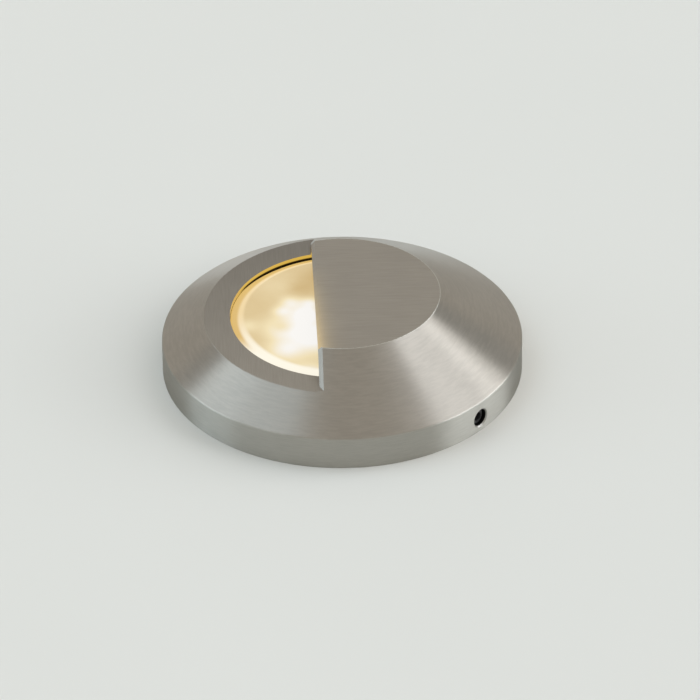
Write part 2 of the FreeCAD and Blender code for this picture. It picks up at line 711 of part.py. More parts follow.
def lamp_disc(name, radius, bottom, height):
    """Round board or pad, with holes for the three screws and for the leads."""
    disc = cylinder(name + "_disc", radius, height, z=bottom)
    screw_hole = f"{cell('small_screw_radius')} + {cell('screw_clearance')}"
    holes = [through_hole(f"{name}_hole_{number}", screw_hole, bottom, height,
                          **polar(cell("lamp_screw_circle"), azimuth))
             for number, azimuth in enumerate(round_the_axis(LAMP_SCREWS, LAMP_SCREW_START), 1)]
    holes.append(through_hole(name + "_lead_hole", cell("lead_hole_radius"), bottom, height, x=cell("lead_x")))
    return cut(name + "_drilled", disc, holes)


def make_emitters():
    """One square emitter in the middle and six round it."""
    circle = cell("emitter_circle_radius")
    spots = [{"x": "0", "y": "0"}] + [polar(circle, azimuth) for azimuth in round_the_axis(OUTER_EMITTERS)]
    side, height = cell("emitter_side"), cell("emitter_height")
    emitters = [block(f"emitter_{number}", side, side, height, x=f"{spot['x']} - {side} / 2",
                      y=f"{spot['y']} - {side} / 2", z=cell("lamp_board_top"))
                for number, spot in enumerate(spots, 1)]
    keep("led_emitters", group("emitter_group", emitters))


def make_reflector():
    """White cone from the emitters up to the film."""
    keep("reflector", turned("reflector_body", [
        ("reflector_throat", "lamp_board_top"),
        ("reflector_throat", "reflector_foot_top"),
        ("reflector_mouth", "reflector_top"),
        ("reflector_rim_radius", "reflector_top"),
        ("reflector_rim_radius", "reflector_rim_bottom"),
        ("reflector_foot_radius", "lamp_board_top"),
    ]))


def make_leads():
    """Each lead stands on the driver board, comes up through the heat sink and bends over to its pad."""
    upright_bend = Rotation(Vector(1, 0, 0), 90)
    for name, side in (("led_lead_positive", 1), ("led_lead_negative", -1)):
        row = f"{side} * {cell('lead_y')}"
        radius, bend = cell("lead_radius"), cell("lead_bend_level")
        riser = cylinder(name + "_riser", radius, f"{bend} - {cell('driver_board_top')}", x=cell("lead_x"),
                         y=row, z=cell("driver_board_top"))
        hairpin = torus(name + "_hairpin", f"({cell('lead_x')} - {cell('lead_pad_x')}) / 2", radius,
                        x=f"({cell('lead_x')} + {cell('lead_pad_x')}) / 2", y=row, z=bend,
                        rotation=upright_bend)
        hairpin.Angle3 = 180
        foot = cylinder(name + "_foot", radius, f"{bend} - {cell('lamp_board_top')}", x=cell("lead_pad_x"),
                        y=row, z=cell("lamp_board_top"))
        keep(name, fused(name + "_wire", [riser, hairpin, foot]))


def make_lamp():
    keep("thermal_pad", lamp_disc("thermal_pad", cell("pad_radius"), cell("heat_sink_top"),
                                  cell("pad_thickness")))
    keep("led_board", lamp_disc("led_board", cell("lamp_board_radius"), cell("lamp_board_bottom"),
                                cell("board_thickness")))
    screws = [pan_screw(f"lamp_screw_{number}", azimuth, cell("lamp_screw_circle"), cell("lamp_board_top"),
                        True, cell("small_screw_radius"), cell("small_head_radius"),
                        cell("small_head_height"), cell("lamp_screw_reach"))
              for number, azimuth in enumerate(round_the_axis(LAMP_SCREWS, LAMP_SCREW_START), 1)]
    keep("led_board_screws", group("lamp_screw_group", screws))
    make_emitters()
    make_reflector()
    make_leads()


# ---- the driver chamber --------------------------------------------------------------------------------------

def make_standoffs():
    """Three pillars with a stud above and a tapped hole below, and the screws that go up into them."""
    pillars, screws, board_holes = [], [], []
    shank = cell("small_screw_radius")
    hole_radius = f"{shank} + {cell('screw_clearance')}"
    for number, azimuth in enumerate(round_the_axis(STANDOFFS, STANDOFF_START), 1):
        spot = polar(cell("standoff_circle"), azimuth)
        post = cylinder(f"standoff_post_{number}", cell("standoff_radius"), cell("standoff_length"),
                        z=cell("driver_board_top"), **spot)
        stud = cylinder(f"standoff_stud_{number}", shank, cell("stud_length"),
                        z=cell("heat_sink_bottom"), **spot)
        blank = fused(f"standoff_blank_{number}", [post, stud])
        hole = hole_from_below(f"standoff_hole_{number}", hole_radius, cell("driver_board_top"),
                               f"({cell('driver_screw_reach')} + {BLIND_SPARE})", **spot)
        pillars.append(cut(f"standoff_{number}", blank, [hole]))
        reach = f"({cell('board_thickness')} + {cell('driver_screw_reach')})"
        screws.append(pan_screw(f"driver_screw_{number}", azimuth, cell("standoff_circle"),
                                cell("driver_board_bottom"), False, shank, cell("small_head_radius"),
                                cell("small_head_height"), reach))
        board_holes.append(through_hole(f"driver_board_hole_{number}", hole_radius,
                                        cell("driver_board_bottom"), cell("board_thickness"), **spot))
    keep("driver_standoffs", group("standoff_group", pillars))
    keep("driver_board_screws", group("driver_screw_group", screws))
    disc = cylinder("driver_disc", cell("driver_board_radius"), cell("board_thickness"),
                    z=cell("driver_board_bottom"))
    keep("driver_board", cut("driver_board_drilled", disc, board_holes))


def hanging_block(name):
    """Block under the driver board, from its own cells."""
    length, width, height = (cell(f"{name}_{side}") for side in ("length", "width", "height"))
    return block(name + "_block", length, width, height, x=f"{cell(name + '_x')} - {length} / 2",
                 y=f"{cell(name + '_y')} - {width} / 2", z=f"{cell('driver_board_bottom')} - {height}")


def make_inductor():
    """Drum core with its winding between the flanges."""
    spot = {"x": cell("inductor_x"), "y": cell("inductor_y")}
    flange, length = cell("inductor_flange_height"), cell("inductor_length")
    upper = cylinder("drum_upper", cell("inductor_flange_radius"), flange,
                     z=f"{cell('driver_board_bottom')} - {flange}", **spot)
    core = cylinder("drum_core", cell("inductor_core_radius"), length, z=cell("inductor_bottom"), **spot)
    lower = cylinder("drum_lower", cell("inductor_flange_radius"), flange, z=cell("inductor_bottom"), **spot)
    keep("inductor_core", fused("drum", [upper, core, lower]))
    height = f"({length} - 2 * {flange})"
    coil = cylinder("winding_outside", cell("winding_radius"), height,
                    z=f"{cell('inductor_bottom')} + {flange}", **spot)
    bore = through_hole("winding_bore", cell("inductor_core_radius"), f"{cell('inductor_bottom')} + {flange}",
                        height, **spot)
    keep("inductor_winding", cut("winding", coil, [bore]))


def make_terminal():
    """Two-way terminal block: wires enter from below, and screws clamp them from the side."""
    blank = hanging_block("terminal")
    holes, screws = [], []
    bottom = f"{cell('driver_board_bottom')} - {cell('terminal_height')}"
    side_y = f"{cell('terminal_y')} - {cell('terminal_width')} / 2"
    into_the_block = Rotation(Vector(1, 0, 0), -90)
    for way, shift in enumerate((-0.5, 0.5), 1):
        x = f"{cell('terminal_x')} + {shift} * {cell('terminal_pitch')}"
        holes.append(hole_from_below(f"terminal_entry_{way}", cell("terminal_wire_radius"), bottom,
                                     cell("terminal_wire_depth"), x=x, y=cell("terminal_y")))
        level = f"{cell('driver_board_bottom')} - {cell('terminal_screw_drop')}"
        radius, length = cell("terminal_screw_radius"), cell("terminal_screw_length")
        holes.append(cylinder(f"terminal_screw_hole_{way}", radius, f"{length} + {OVERRUN}", x=x,
                              y=f"{side_y} - {OVERRUN}", z=level, rotation=into_the_block))
        blank_screw = cylinder(f"terminal_screw_rod_{way}", radius, length, x=x, y=side_y, z=level,
                               rotation=into_the_block)
        slot = block(f"terminal_screw_slot_{way}", f"{radius} * {SLOT_LENGTH}", f"{length} * {SLOT_DEPTH}",
                     f"{radius} * {SLOT_WIDTH}", x=f"{x} - {radius} * {SLOT_LENGTH / 2}", y=side_y,
                     z=f"{level} - {radius} * {SLOT_WIDTH / 2}")
        screws.append(cut(f"terminal_screw_{way}", blank_screw, [slot]))
    keep("terminal_block", cut("terminal_body", blank, holes))
    keep("terminal_screws", group("terminal_screw_pair", screws))


def make_driver():
    make_standoffs()
    can = cylinder("capacitor_can", cell("capacitor_radius"), cell("capacitor_length"), x=cell("capacitor_x"),
                   y=cell("capacitor_y"), z=f"{cell('driver_board_bottom')} - {cell('capacitor_length')}")
    keep("filter_capacitor", can)
    make_inductor()
    keep("bridge_rectifier", hanging_block("rectifier"))
    keep("driver_chip", hanging_block("chip"))
    make_terminal()


# ---- the base cap and its cable gland ------------------------------------------------------------------------

def make_base_cap():
    """Cap that screws into the barrel, with the gland's bore in its foot."""
    body = turned("base_cap_body", [
        ("plug_hollow_radius", "plug_top"),
        ("plug_radius", "plug_top"),
        ("plug_radius", "cap_groove_top"),
        ("cap_groove_radius", "cap_groove_top"),
        ("cap_groove_radius", "cap_groove_bottom"),
        ("plug_radius", "cap_groove_bottom"),
        ("plug_radius", "body_bottom"),
        ("body_radius", "body_bottom"),
        ("body_radius", "cap_edge_level"),
        ("cap_foot_radius", "cap_bottom"),
        ("gland_radius", "cap_bottom"),
        ("gland_radius", "gland_seat"),
        ("gland_bore", "gland_seat"),
        ("gland_bore", "plug_hollow_floor"),
        ("plug_hollow_radius", "plug_hollow_floor"),
    ])
    holes = [hole_from_below(f"spanner_hole_{number}", cell("spanner_hole_radius"), cell("cap_bottom"),
                             cell("spanner_hole_depth"), y=f"{side} * {cell('spanner_hole_offset')}")
             for number, side in enumerate((-1, 1), 1)]
    keep("base_cap", cut("base_cap_drilled", body, holes))
    section, inside = cell("cap_ring_section"), cell("cap_groove_radius")
    bottom = f"({cell('cap_ring_level')} - {section} / 2)"
    keep("base_cap_o_ring", ring("cap_o_ring", f"{inside} + {section}", inside, bottom, section))


def make_gland():
    """Rubber bush, sliding washer and socketed nut, one below the other round the cable's path."""
    outside = f"({cell('gland_radius')} - {cell('gland_gap')})"
    keep("gland_seal", ring("gland_bush", outside, cell("gland_seal_bore"), cell("gland_seal_bottom"),
                            cell("gland_seal_length")))
    keep("gland_washer", ring("gland_slip_washer", outside, cell("gland_bore"), cell("gland_washer_bottom"),
                              cell("gland_washer_thickness")))
    bottom = f"({cell('gland_washer_bottom')} - {cell('gland_nut_length')})"
    nut = ring("gland_nut_blank", outside, cell("gland_bore"), bottom, cell("gland_nut_length"))
    socket = hexagon("gland_nut_hexagon", cell("gland_nut_flats"), f"{cell('gland_nut_socket')} + {OVERRUN}",
                     z=f"{bottom} - {OVERRUN}")
    keep("gland_nut", cut("gland_nut_socketed", nut, [socket]))


# ---- build, check and write ----------------------------------------------------------------------------------

def check_document():
    """Stops if any object failed, or if a sub-part's shape is empty or broken."""
    for feature in doc.Objects:
        if "Invalid" in feature.State or "Error" in feature.State:
            raise RuntimeError(f"{feature.Name} did not recompute: {feature.State}")
    for label, feature in sub_parts.items():
        shape = feature.Shape
        if shape.isNull() or not shape.isValid() or not shape.Solids:
            raise RuntimeError(f"{label} has no sound solid")


def write_parts():
    os.makedirs("parts", exist_ok=True)
    for label, feature in sub_parts.items():
        feature.Shape.exportStep(f"parts/{label}.step")
        box = feature.Shape.BoundBox
        print(f"{label:24s} {len(feature.Shape.Solids):2d} solid(s) {feature.Shape.Volume:9.1f} mm3 "
              f"z {box.ZMin:7.2f} to {box.ZMax:6.2f}")


fill_sheet()
make_cover()
make_set_screws()
make_lens()
make_lens_gasket()
make_clamp_ring()
make_diffuser()
make_housing()
make_heat_sink()
make_grip_rings()
make_lamp()
make_driver()
make_base_cap()
make_gland()
doc.recompute()
check_document()
write_parts()
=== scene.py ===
import math

import bmesh
import bpy
from mathutils import Matrix, Vector


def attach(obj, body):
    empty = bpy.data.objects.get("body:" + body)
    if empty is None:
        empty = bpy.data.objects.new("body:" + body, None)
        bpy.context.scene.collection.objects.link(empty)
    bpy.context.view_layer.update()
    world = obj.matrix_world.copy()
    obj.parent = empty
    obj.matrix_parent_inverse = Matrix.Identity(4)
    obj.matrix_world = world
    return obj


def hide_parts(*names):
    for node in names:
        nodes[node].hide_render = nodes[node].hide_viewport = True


# Looks of a recessed step light: a bevelled, brushed cover over a lit glass. The frame is in metres. The
# figures below are in millimetres and degrees, and those of finishes, such as tones, in shares from 0 to 1.
# The light's axis is Z, and it is let into the surface at Z = 0.

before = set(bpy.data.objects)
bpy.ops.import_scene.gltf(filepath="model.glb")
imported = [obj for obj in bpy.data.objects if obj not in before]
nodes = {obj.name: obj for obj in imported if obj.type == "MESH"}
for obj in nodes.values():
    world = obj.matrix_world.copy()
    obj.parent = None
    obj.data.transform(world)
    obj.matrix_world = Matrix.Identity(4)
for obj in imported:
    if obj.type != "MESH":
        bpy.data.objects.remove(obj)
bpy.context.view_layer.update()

MM = 0.001

# ---- shapes that the looks need ------------------------------------------------------------------

COVER_RADIUS = 40
TOP_LEVEL = 19
RIM_LEVEL = 7.5
NOTCH_LEVEL = 13.4
HOLE_START = 31.5        # from the axis: where the screws' holes start, and where their countersinks do
HOLE_MOUTH = 39.6
APERTURE_RADIUS = 24.8
HOOD_FACE_X = -6
HOOD_EDGE = 0.8          # width of the broken edge round the hood's open face
GLASS_CROWN_RADIUS = 21.8
GLASS_BEVEL_RADIUS = 23.25
GLASS_RADIUS = 24.6
GLASS_FLANGE_RADIUS = 26
GLASS_CROWN_LEVEL = 13.25
GLASS_BEVEL_LEVEL = 12.5
GLASS_SHOULDER_LEVEL = 11.3
GLASS_SHOULDER = 1.2     # radius of the rounding of the shoulder on the far side
GLASS_SQUARE_SHOULDER = 0.5      # the same on the near side
GLASS_SHOULDER_RADIUS = 24.75
GLASS_SHOULDER_FOOT = 9.5
GLASS_FLANGE_TOP = 7
GLASS_BOTTOM = 4.6
GLASS_CORNER = 0.2       # taken off the corners of the crown and of the flange
GLASS_CROWN_DROP = 0.04  # of the crown's edge
GLASS_BEVEL_SHORT = 0.1  # the bevel ends short of its radius, and above its level
GLASS_BEVEL_LIFT = 0.05
GLASS_FOOT_STEP = 0.3    # height of the slope under the shoulder

# ---- view ----------------------------------------------------------------------------------------

VIEW_AZIMUTH = -2
VIEW_ELEVATION = 34.574
VIEW_DISTANCE = 1336.71
VIEW_LENS = 308.57
VIEW_PAN = 0.0742        # to the right, so that the light sits left of the middle
VIEW_TILT = 0.1284       # upwards, so that it sits low
VIEW_ROLL = -0.5677


def make_camera():
    """The photograph's view of the light, from in front and above."""
    azimuth, elevation = math.radians(VIEW_AZIMUTH), math.radians(VIEW_ELEVATION)
    back = Vector((math.sin(azimuth) * math.cos(elevation),
                   -math.cos(azimuth) * math.cos(elevation), math.sin(elevation)))
    aim = (-back).to_track_quat("-Z", "Y").to_matrix()
    for angle, axis in ((-VIEW_PAN, "Y"), (VIEW_TILT, "X"), (VIEW_ROLL, "Z")):
        aim = aim @ Matrix.Rotation(math.radians(angle), 3, axis)
    data = bpy.data.cameras.new("camera")
    data.lens = VIEW_LENS
    data.clip_start, data.clip_end = 0.05, 20
    camera = bpy.data.objects.new("camera", data)
    bpy.context.scene.collection.objects.link(camera)
    camera.matrix_world = Matrix.Translation(back * VIEW_DISTANCE * MM) @ aim.to_4x4()
    bpy.context.scene.camera = camera


# ---- finishes as expressions ---------------------------------------------------------------------

class Signal:
    """A shader socket in an expression. Each operator adds its node."""

    def __init__(self, finish, socket):
        self.finish, self.socket = finish, socket

    def __add__(self, other):
        return self.finish.math("ADD", self, other)

    def __sub__(self, other):
        return self.finish.math("SUBTRACT", self, other)

    def __rsub__(self, other):
        return self.finish.math("SUBTRACT", other, self)

    def __mul__(self, other):
        return self.finish.math("MULTIPLY", self, other)

    def __truediv__(self, other):
        return self.finish.math("DIVIDE", self, other)

    __radd__ = __add__
    __rmul__ = __mul__


class Finish:
    """One material, or the world. Its nodes come from expressions on signals."""

    def __init__(self, owner):
        owner.use_nodes = True
        self.owner = owner
        self.tree = owner.node_tree
        self.tree.nodes.clear()

    def node(self, kind, settings, sockets):
        """Adds a node. Its settings come first, because they decide which sockets it has."""
        made = self.tree.nodes.new(kind)
        for name, value in settings.items():
            setattr(made, name, value)
        for name, value in sockets.items():
            if isinstance(value, Signal):
                self.tree.links.new(value.socket, made.inputs[name])
            else:
                made.inputs[name].default_value = value
        return made

    def signal(self, kind, settings, sockets, output=0):
        return Signal(self, self.node(kind, settings, sockets).outputs[output])

    def math(self, operation, *values):
        return self.signal("ShaderNodeMath", {"operation": operation}, dict(enumerate(values)))

    def place(self):
        """Where a point is on the light: the vector in millimetres, then its x, y and z."""
        metres = self.signal("ShaderNodeTexCoord", {}, {}, "Object")
        vector = self.signal("ShaderNodeVectorMath", {"operation": "SCALE"}, {0: metres, "Scale": 1 / MM})
        apart = self.node("ShaderNodeSeparateXYZ", {}, {0: vector})
        return (vector, *(Signal(self, apart.outputs[axis]) for axis in range(3)))

    def vector(self, x, y, z):
        return self.signal("ShaderNodeCombineXYZ", {}, {0: x, 1: y, 2: z})

    def noise(self, vector, scale, detail=2.0, rough=0.5):
        return self.signal("ShaderNodeTexNoise", {}, {"Vector": vector, "Scale": scale, "Detail": detail,
                                                     "Roughness": rough})

    def ramp(self, value, start, end):
        """Eases from 0 to 1 as the value goes from start to end."""
        return self.signal("ShaderNodeMapRange", {"interpolation_type": "SMOOTHSTEP"},
                           {0: value, 1: start, 2: end, 3: 0.0, 4: 1.0})

    def mix(self, share, first, second, blend="MIX"):
        """Colour that goes from the first to the second."""
        return self.signal("ShaderNodeMix", {"data_type": "RGBA", "blend_type": blend},
                           {0: share, 6: first, 7: second}, 2)

    def bump(self, height, depth):
        """Normals of a relief whose height goes from 0 to 1 over a depth in millimetres."""
        return self.signal("ShaderNodeBump", {}, {"Strength": 1.0, "Distance": depth * MM, "Height": height})

    def end_with(self, sockets):
        """Principled surface from socket names to values."""
        surface = self.signal("ShaderNodeBsdfPrincipled", {}, sockets)
        self.node("ShaderNodeOutputMaterial", {}, {"Surface": surface})
        return self.owner


ROUGHNESS_SPREAD = 0.12
QUARTER_TURN = 0.25      # of the highlights, which lie across the turned lines


def new_finish(name):
    return Finish(bpy.data.materials.new(name))


def seen(red, green, blue):
    """A colour as a screen shows it, from 0 to 255, as the shader's linear values."""
    return (*(((part / 255 + 0.055) / 1.055) ** 2.4 for part in (red, green, blue)), 1.0)


# ---- brushed metal of the cover ------------------------------------------------------------------

STEEL = (0.43, 0.4, 0.365)
STEEL_TOP = (0.374, 0.34, 0.303)
STEEL_NOTCH = (0.325, 0.298, 0.268)
STEEL_RIM = (0.45, 0.44, 0.405)
STEEL_HOOD_EDGE = (0.35, 0.34, 0.32)
# painted highlight: a lighter tone on the rounded edge round the top, for the light line that it catches
STEEL_EDGE_PAINTED_HIGHLIGHT = (0.62, 0.61, 0.57)
# painted shade: near black for the steel inside the screws' holes, where shade falls
STEEL_IN_HOLE_PAINTED_SHADE_DARK = (0.02, 0.02, 0.02)
STEEL_IN_HOLE_PAINTED_SHADE_LIGHT = (0.04, 0.04, 0.04)
BARE_STEEL_DARK = (0.34, 0.33, 0.32, 1)
BARE_STEEL_LIGHT = (0.46, 0.45, 0.44, 1)
TURNED_ROUGHNESS = 0.36
BRUSHING_SHADES = (0.93, 1.07)   # of the tone, in the dark and the light lines
BRUSHING_DEPTH = 0.006
BRUSHING_LINES = 0.75    # how much of the shading is lines; the rest is wide clouds
BRUSHING_CONTRAST = (0.32, 0.68)
CLOUD_SCALE = 0.11
# how quickly the brushing changes, by each millimetre: along the lines of a turned and of a flat face, and
# across all lines
TURNED_STRETCH = 0.3
FLAT_STRETCH = 0.14
ACROSS_LINES = 6.0
BARE_STRETCH = 0.05      # the same inside the hood, where the rings are coarser
BARE_LINES = 4.0
# light of the glass on the steel: on top of the hood next to its face, and on the wall of the round opening
LIP_GLOW = (1, 0.7, 0.24, 1)
LIP_GLOW_FADE = 0.65     # by each millimetre away from the hood's face
LIP_GLOW_BACK_Y = 12     # where it ends, and the way over which it grows towards the front
LIP_GLOW_LENGTH = 30
WALL_GLOW = (0.75, 0.5, 0.08, 1)
WALL_NO_GLOW = (0.005, 0.003, 0.001, 1)
# base tones of the wall where the glass's light is painted on, and where a shadow is painted
WALL_LIT = (0.35, 0.3, 0.17, 1)
WALL_PAINTED_SHADOW = (0.02, 0.015, 0.01, 1)
WALL_GLOW_STRENGTH = 0.6
WALL_GLOW_DEPTH = (0.95, 0.65)   # under the notch floor, where the far side turns from painted shadow to painted yellow light
WALL_NEAR_SIDE_Y = (14, 10)      # where the wall turns yellow over its whole height
WALL_FAR_SIDE_Y = (8, 14)        # where it turns from the tone of the shoulder to its own
# limits that sort the cover's faces: the part of the normal that points upwards, then the part along X
LEVEL_RISE = 0.99
BEVEL_RISE = 0.85
BROKEN_EDGE_RISE = 0.65
NO_RISE = 0.1
BROKEN_EDGE_LEAN = -0.6
UPRIGHT_FACE_LEAN = -0.9
# the same in millimetres: slack for a place and for a level, and how far the rounded edges reach
SLACK = 0.1
LEVEL_SLACK = 0.2
TOP_EDGE_REACH = 0.3
RIM_EDGE_REACH = 0.5
RIM_SLACK = 0.05


def brushed(finish, lines, place, tone, roughness):
    """Colour, roughness and relief of brushed steel, from a vector that runs slowly along its lines."""
    fine = finish.noise(lines, 1.0, detail=3.0, rough=0.6)
    cloud = finish.noise(place, CLOUD_SCALE)
    shading = fine * BRUSHING_LINES + cloud * (1 - BRUSHING_LINES)
    dark, light = ((*(part * shade for part in tone), 1) for shade in BRUSHING_SHADES)
    colour = finish.mix(finish.ramp(shading, *BRUSHING_CONTRAST), dark, light)
    return {"Base Color": colour, "Metallic": 1.0, "Roughness": roughness + (fine - 0.5) * ROUGHNESS_SPREAD,
            "Normal": finish.bump(fine, BRUSHING_DEPTH)}


def turned_steel(name, tone, edge_on):
    """Rim and bevel: the lines run round the axis. Seen edge on, the metal mirrors by the share given."""
    finish = new_finish(name)
    place, x, y, z = finish.place()
    radius = finish.math("SQRT", x * x + y * y)
    lines = finish.vector(x * TURNED_STRETCH, y * TURNED_STRETCH, (radius + z) * ACROSS_LINES)
    looks = brushed(finish, lines, place, tone, TURNED_ROUGHNESS)
    return finish.end_with({**looks, "Anisotropic": 1.0, "Anisotropic Rotation": QUARTER_TURN,
                            "Specular Tint": (edge_on, edge_on, edge_on, 1)})


def flat_steel(name, along_x, tone, roughness, painted_shade_slope=0.0, painted_glow=0.0):
    """Flats: the lines run straight across. A painted shade darkens them towards the back by a share for each
    millimetre, and painted light of the glass lies on them next to the hood's face, most at the front."""
    finish = new_finish(name)
    place, x, y, z = finish.place()
    stretch_x, stretch_y = (FLAT_STRETCH, ACROSS_LINES) if along_x else (ACROSS_LINES, FLAT_STRETCH)
    lines = finish.vector(x * stretch_x, y * stretch_y, z * FLAT_STRETCH)
    looks = brushed(finish, lines, place, tone, roughness)
    # painted shade: darker towards the back
    if painted_shade_slope:
        shade = 1 - y * painted_shade_slope
        looks["Base Color"] = finish.mix(1.0, looks["Base Color"], finish.vector(shade, shade, shade),
                                         "MULTIPLY")
    # painted light of the glass, next to the hood's face
    if painted_glow:
        nearness = finish.math("EXPONENT", (HOOD_FACE_X - x) * LIP_GLOW_FADE)
        warm = finish.math("MAXIMUM", (LIP_GLOW_BACK_Y - y) * (1 / LIP_GLOW_LENGTH), 0) * nearness
        looks["Emission Color"] = finish.mix(warm, (0, 0, 0, 1), LIP_GLOW)
        looks["Emission Strength"] = painted_glow
    return finish.end_with(looks)


def lit_edge_steel():
    """Wall of the round opening: painted yellow light from the side of the glass, but painted black shadow
    low down on the far side.
    """
    finish = new_finish("steel_lit_by_the_glass")
    y, z = finish.place()[2:]
    # painted shadow low down on the far side, painted light above it and over the whole near side
    high_up = finish.ramp(z, *(NOTCH_LEVEL - depth for depth in WALL_GLOW_DEPTH))
    lit = finish.math("MAXIMUM", high_up, finish.ramp(y, *WALL_NEAR_SIDE_Y))
    colour = finish.mix(lit, WALL_PAINTED_SHADOW, WALL_LIT)
    yellow = finish.mix(finish.ramp(y, *WALL_FAR_SIDE_Y), GLOW_SHOULDER, WALL_GLOW)
    glow = finish.mix(lit, WALL_NO_GLOW, yellow)
    return finish.end_with({"Base Color": colour, "Metallic": 1.0, "Roughness": 0.35, "Emission Color": glow,
                            "Emission Strength": WALL_GLOW_STRENGTH})


def bare_steel():
    """Inside of the hood and of the hollow, left as it was turned."""
    finish = new_finish("steel_as_turned")
    x, y, z = finish.place()[1:]
    radius = finish.math("SQRT", x * x + y * y)
    rings = finish.noise(finish.vector(x * BARE_STRETCH, y * BARE_STRETCH, (radius - z) * BARE_LINES), 1.0)
    colour = finish.mix(rings, BARE_STEEL_DARK, BARE_STEEL_LIGHT)
    return finish.end_with({"Base Color": colour, "Metallic": 1.0, "Roughness": 0.38 + rings * 0.1,
                            "Anisotropic": 0.5, "Normal": finish.bump(rings, 0.01)})


def dress_cover():
    """Gives each face of the cover the brushing that it has; some faces get painted light and shade."""
    cover = nodes["cover"]
    finishes = [turned_steel("steel_bevel", STEEL, 1.0), turned_steel("steel_rim", STEEL_RIM, 0.5),
                flat_steel("steel_brushed_across", True, STEEL_TOP, 0.40, painted_glow=0.4),
                flat_steel("steel_brushed_back", False, STEEL_NOTCH, 0.40, painted_shade_slope=0.006),
                flat_steel("steel_brushed_wall", False, STEEL, 0.30),
                flat_steel("steel_broken_edge", False, STEEL_HOOD_EDGE, 0.35),
                turned_steel("steel_edge_painted_highlight", STEEL_EDGE_PAINTED_HIGHLIGHT, 1.0), lit_edge_steel(), bare_steel(),
                plain("steel_painted_shade_in_the_hole", STEEL_IN_HOLE_PAINTED_SHADE_DARK, STEEL_IN_HOLE_PAINTED_SHADE_LIGHT, 0.5, metallic=1.0)]
    bevel, rim, top, floor, wall, hood_edge, edge, opening, inside, hole = range(len(finishes))
    cover.data.materials.clear()
    for finish in finishes:
        cover.data.materials.append(finish)
    for face in cover.data.polygons:
        x, y, z = (part / MM for part in face.center)
        normal, radius = face.normal, math.hypot(x, y)
        outwards = normal.x * x + normal.y * y > 0
        level = normal.z > LEVEL_RISE
        at_hood_face = z > NOTCH_LEVEL and HOOD_FACE_X - SLACK < x < HOOD_FACE_X + HOOD_EDGE
        broken_edge = at_hood_face and normal.x < BROKEN_EDGE_LEAN
        in_rim = z < RIM_LEVEL - RIM_EDGE_REACH
        if level and z > TOP_LEVEL - LEVEL_SLACK or broken_edge and normal.z > BROKEN_EDGE_RISE:
            choice = top
        elif level and abs(z - NOTCH_LEVEL) < LEVEL_SLACK:
            choice = floor
        elif at_hood_face and normal.x < UPRIGHT_FACE_LEAN:
            choice = wall
        elif broken_edge:
            choice = hood_edge
        elif abs(radius - APERTURE_RADIUS) < SLACK and abs(normal.z) < NO_RISE:
            choice = opening
        # the screws' holes take the near black of painted shade
        elif in_rim and HOLE_START < radius < HOLE_MOUTH:
            choice = hole
        elif in_rim and HOLE_MOUTH < radius < COVER_RADIUS - RIM_SLACK:
            choice = hood_edge
        # the rounded edge round the top takes the lighter tone of a painted highlight
        elif BEVEL_RISE < normal.z < LEVEL_RISE and z > TOP_LEVEL - TOP_EDGE_REACH:
            choice = edge
        elif normal.z > -NO_RISE and (radius > COVER_RADIUS - RIM_EDGE_REACH or outwards):
            choice = rim if z < RIM_LEVEL else bevel
        else:
            choice = inside
        face.material_index = choice


# ---- the lit glass -------------------------------------------------------------------------------

GLOW_TAN = seen(197, 167, 110)
GLOW_CREAM = seen(234, 217, 175)
GLOW_WHITE = seen(243, 242, 241)
GLOW_BEVEL = seen(250, 245, 230)
GLOW_BEVEL_BACK = seen(232, 206, 155)
GLOW_SHOULDER = seen(212, 175, 98)
# x, y, radius and strength of the patches, bright or dark, that the emitters make in the glass
GLOW_PATCHES = (
    # in the middle
    (-8, 0.75, 3.75, 0.9), (-11.25, 5.25, 2.25, 0.55), (-7, 5, 2, 0.5), (-13.25, 2, 2, 0.5),
    # in front of it, the second with a darker heart
    (-6, -8.25, 6.25, 1), (-13.25, -4.5, 4, 0.8), (-13.25, -4.25, 2.5, -0.6),
    # near the front and the left edge
    (-13, -13.25, 4, 0.6), (-8, -24, 5, 0.8), (-21, -3.5, 2.25, 0.3),
    # faint, at the back
    (-14.25, 11.75, 4.5, 0.15), (-5, 15, 4, -0.15), (-9, 10.75, 2.75, -0.15))
GLASS_COLOUR = (0.12, 0.1, 0.07, 1)
GLOW_EVERYWHERE = 0.16
GLOW_MOTTLING = 0.08
GLOW_STRENGTH = 0.93
BEVEL_BACK_Y = (-16, 4)      # where the bevel of the glass, and then its shoulder, go to the tone at the back
SHOULDER_BACK_Y = (-14, -6)
CROWN_EDGE = (-0.5, 0.5)     # about the radius of the crown, where its tone goes to that of the bevel
BEVEL_EDGE = (-0.6, 0.3)


